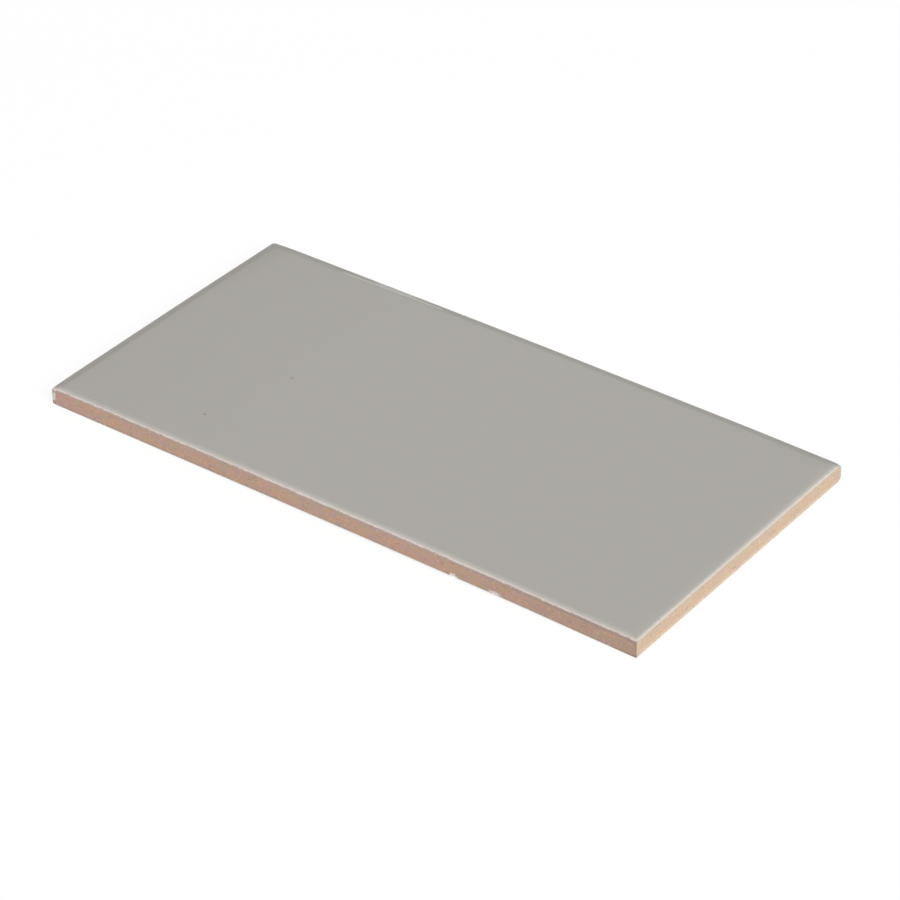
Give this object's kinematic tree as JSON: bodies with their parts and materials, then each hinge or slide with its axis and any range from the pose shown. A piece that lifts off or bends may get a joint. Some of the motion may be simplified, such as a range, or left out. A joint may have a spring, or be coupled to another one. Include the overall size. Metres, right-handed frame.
{
  "type": "subway wall tile",
  "caption": "Flat oblong ceramic wall tile with a glossy grey glazed face, softly cushioned edges, bare tan sides and a keyed back, bonded to walls with grouted joints.",
  "frame": {"origin": "middle of the back, on the plane of its rim and ribs", "axes": "+X along the length, +Y across the width, +Z out of the glazed face"},
  "size_m": [0.2, 0.1, 0.006],
  "materials": {
    "glazed_tile": "glossy warm grey glaze on the face and its cushioned edges, bare granular tan body on the sides and back"
  },
  "bodies": {
    "root": {"tile": "glazed_tile"}
  },
  "joints": []
}
